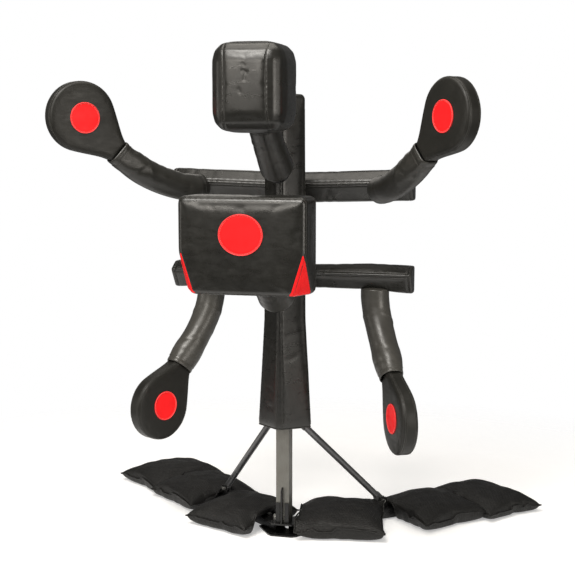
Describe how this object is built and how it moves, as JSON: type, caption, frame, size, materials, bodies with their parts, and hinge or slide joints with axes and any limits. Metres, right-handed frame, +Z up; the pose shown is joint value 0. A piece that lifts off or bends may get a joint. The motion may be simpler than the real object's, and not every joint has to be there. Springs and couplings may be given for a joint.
{
  "type": "body opponent mannequin",
  "caption": "Free-standing sparring mannequin: padded post and crossbars carrying a sprung head, torso pad, arm and leg paddles on a V-shaped steel base held down by sandbags.",
  "frame": {"origin": "on the floor under the post's axis", "axes": "+Z up, -Y is the opponent's front, +X is to the right when facing its front"},
  "size_m": [1.8245, 1.3703, 1.8],
  "materials": {
    "black_steel": "satin",
    "worn_steel": "satin",
    "zinc_hardware": "satin",
    "spring_steel": "satin",
    "black_plastic": "matte",
    "pad_vinyl": "satin",
    "sleeve_vinyl": "satin",
    "red_vinyl": "satin",
    "sandbag_cloth": "matte"
  },
  "bodies": {
    "stand": {"hub_base_plate": "black_steel", "hub_top_plate": "black_steel", "base_leg_left": "black_steel", "base_leg_right": "black_steel", "leg_end_caps": "black_plastic", "hub_bolts": "zinc_hardware", "post_gussets": "black_steel", "strut_left": "black_steel", "strut_right": "black_steel", "strut_foot_brackets": "black_steel", "strut_bolts": "zinc_hardware", "post": "worn_steel", "strut_collar": "black_steel", "spine_pad": "pad_vinyl", "upper_crossbar": "black_steel", "lower_crossbar": "black_steel", "crossbar_brackets": "black_steel", "crossbar_bolts": "zinc_hardware", "upper_bar_pad": "pad_vinyl", "lower_bar_pad": "pad_vinyl", "sandbag_right_inner": "sandbag_cloth", "sandbag_right_middle": "sandbag_cloth", "sandbag_right_outer": "sandbag_cloth", "sandbag_left_inner": "sandbag_cloth", "sandbag_left_middle": "sandbag_cloth", "sandbag_left_outer": "sandbag_cloth", "neck_mount": "black_steel", "torso_mount": "black_steel", "arm_mounts": "black_steel", "leg_mounts": "black_steel", "neck_spring": "spring_steel", "torso_spring": "spring_steel", "arm_left_spring": "spring_steel", "arm_right_spring": "spring_steel", "leg_left_spring": "spring_steel", "leg_right_spring": "spring_steel", "neck_sleeve": "sleeve_vinyl", "torso_sleeve": "sleeve_vinyl", "arm_left_sleeve": "sleeve_vinyl", "arm_right_sleeve": "sleeve_vinyl", "leg_left_sleeve": "sleeve_vinyl", "leg_right_sleeve": "sleeve_vinyl"},
    "head": {"head_core": "black_steel", "head_pad": "pad_vinyl"},
    "torso": {"torso_core": "black_steel", "torso_pad": "pad_vinyl", "torso_red_panels": "red_vinyl"},
    "arm_left": {"arm_left_core": "black_steel", "arm_left_paddle": "pad_vinyl", "arm_left_target": "red_vinyl"},
    "arm_right": {"arm_right_core": "black_steel", "arm_right_paddle": "pad_vinyl", "arm_right_target": "red_vinyl"},
    "leg_left": {"leg_left_core": "black_steel", "leg_left_paddle": "pad_vinyl", "leg_left_target": "red_vinyl"},
    "leg_right": {"leg_right_core": "black_steel", "leg_right_paddle": "pad_vinyl", "leg_right_target": "red_vinyl"}
  },
  "joints": [
    {"name": "head_flex", "type": "hinge", "parent": "stand", "child": "head", "pos_m": [0, -0.1794, 1.4402], "axis": [1, 0, 0], "range_deg": [-25, 15], "stiffness_Nm_per_rad": 150, "springref_deg": -4.56, "deforming": ["neck_spring", "neck_sleeve"]},
    {"name": "torso_flex", "type": "hinge", "parent": "stand", "child": "torso", "pos_m": [0, -0.2257, 1.0005], "axis": [1, 0, 0], "range_deg": [-15, 8], "stiffness_Nm_per_rad": 260, "springref_deg": -5.39, "deforming": ["torso_spring", "torso_sleeve"]},
    {"name": "arm_right_flex", "type": "hinge", "parent": "stand", "child": "arm_right", "pos_m": [0.4483, -0.118, 1.3358], "axis": [0, 0, 1], "range_deg": [-20, 30], "stiffness_Nm_per_rad": 60, "deforming": ["arm_right_spring", "arm_right_sleeve"]},
    {"name": "arm_left_flex", "type": "hinge", "parent": "stand", "child": "arm_left", "pos_m": [-0.4483, -0.118, 1.3358], "axis": [0, 0, -1], "range_deg": [-20, 30], "stiffness_Nm_per_rad": 60, "deforming": ["arm_left_spring", "arm_left_sleeve"]},
    {"name": "leg_right_flex", "type": "hinge", "parent": "stand", "child": "leg_right", "pos_m": [0.351, 0.0732, 0.7644], "axis": [1, 0, 0], "range_deg": [-20, 30], "stiffness_Nm_per_rad": 60, "springref_deg": -2.58, "deforming": ["leg_right_spring", "leg_right_sleeve"]},
    {"name": "leg_left_flex", "type": "hinge", "parent": "stand", "child": "leg_left", "pos_m": [-0.351, 0.0732, 0.7644], "axis": [1, 0, 0], "range_deg": [-20, 30], "stiffness_Nm_per_rad": 60, "springref_deg": -2.58, "deforming": ["leg_left_spring", "leg_left_sleeve"]}
  ]
}
